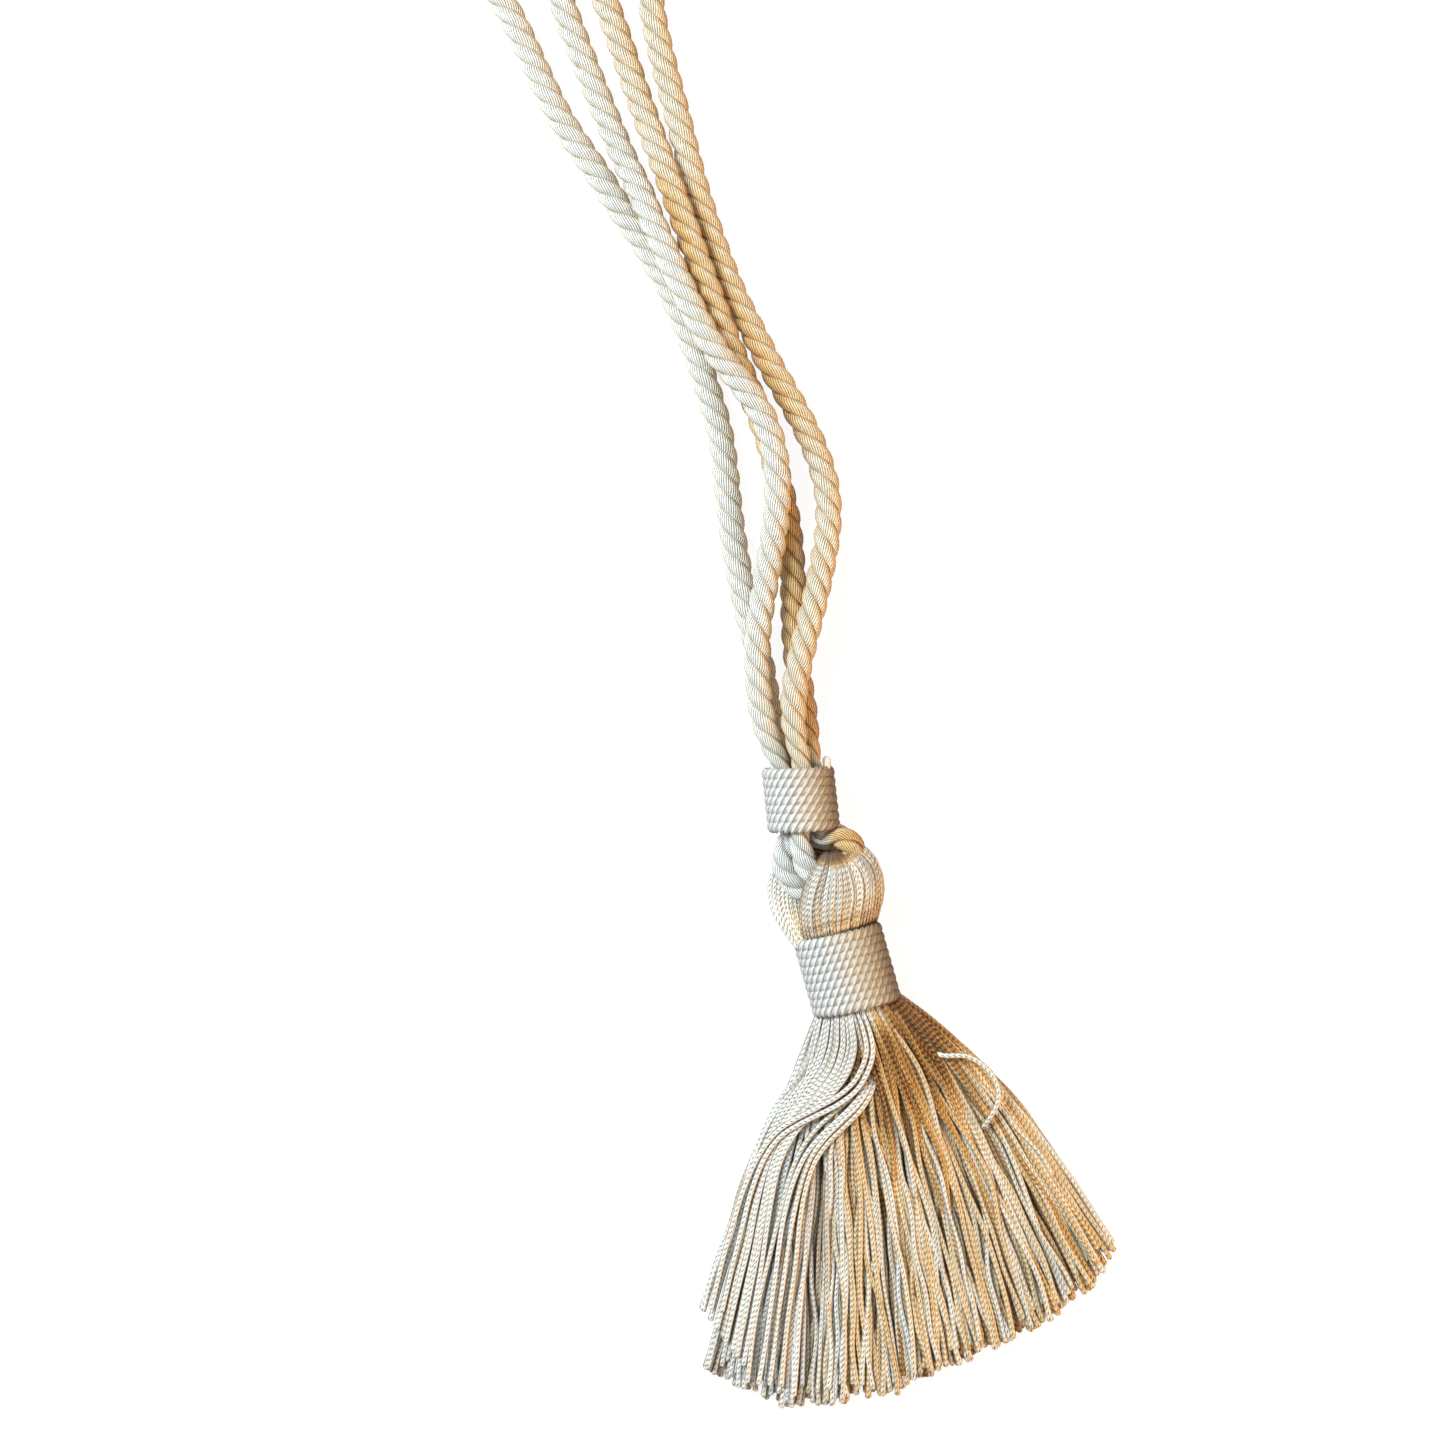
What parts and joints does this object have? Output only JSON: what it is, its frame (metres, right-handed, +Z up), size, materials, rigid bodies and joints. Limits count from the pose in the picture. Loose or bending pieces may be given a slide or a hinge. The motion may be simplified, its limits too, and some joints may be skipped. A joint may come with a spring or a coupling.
{
  "type": "tassel tieback",
  "caption": "Curtain tieback of twisted rope lying flat: looped arms run into a wound binding, and a rope eye carries a folded yarn tassel with a bound neck and a spread fringe.",
  "frame": {"origin": "on the flat underside of the neck binding, at the middle of its length", "axes": "+Y towards the looped arms, +X to the right, +Z up from the surface that the tieback lies on"},
  "size_m": [0.218, 0.4893, 0.0231],
  "materials": {
    "rope": "satin twisted rayon rope, cream",
    "binding": "satin plied cord, deep cream",
    "yarn": "satin chainette yarn, cream to golden"
  },
  "bodies": {
    "root": {"loop_left": "rope", "loop_right": "rope", "eye_rope_left": "rope", "eye_rope_right": "rope", "upper_binding": "binding", "neck_binding": "binding", "tassel": "yarn"}
  },
  "joints": []
}
